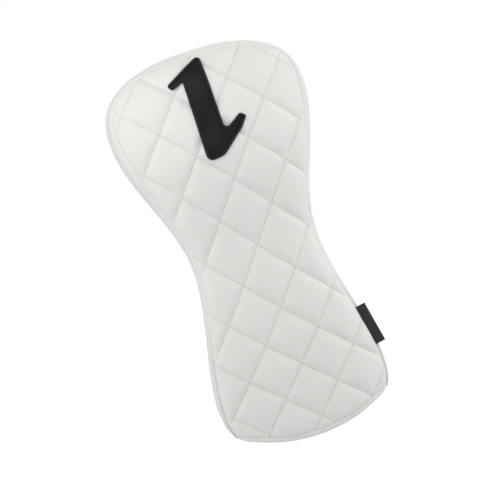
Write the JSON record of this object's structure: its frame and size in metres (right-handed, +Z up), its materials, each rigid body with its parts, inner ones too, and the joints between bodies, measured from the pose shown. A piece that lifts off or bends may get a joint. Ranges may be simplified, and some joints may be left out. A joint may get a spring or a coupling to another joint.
{
  "type": "golf driver head cover",
  "caption": "Padded hourglass head cover for a golf driver: quilted white leather panels, side gusset, bound mouth, black numeral patch, side label and fleece lining.",
  "frame": {"origin": "the club head's seat: the middle of the lining inside the crown", "axes": "+Z up the cover's length and out of the crown, -Y the front with the numeral, +X the right-hand side as seen from the front"},
  "size_m": [0.1648, 0.0886, 0.3248],
  "materials": {
    "white_leather": "satin",
    "foam": "matte",
    "fleece": "matte",
    "elastic_weave": "matte",
    "black_leather": "satin",
    "black_thread": "matte",
    "label_weave": "matte"
  },
  "bodies": {
    "cover": {"front_panel": "white_leather", "front_padding": "foam", "front_lining": "fleece", "back_panel": "white_leather", "back_padding": "foam", "back_lining": "fleece", "side_gusset": "white_leather", "gusset_padding": "foam", "gusset_lining": "fleece", "hem_binding": "white_leather", "neck_elastic": "elastic_weave", "numeral_patch": "black_leather", "numeral_edging": "black_thread"},
    "label": {"side_label": "label_weave"}
  },
  "joints": [
    {"name": "label_flex", "type": "hinge", "parent": "cover", "child": "label", "pos_m": [0.06538, -0.01845, -0.24856], "axis": [-0.1728, 0.0555, 0.9834], "range_deg": [-75, 60], "stiffness_Nm_per_rad": 0.00004}
  ]
}
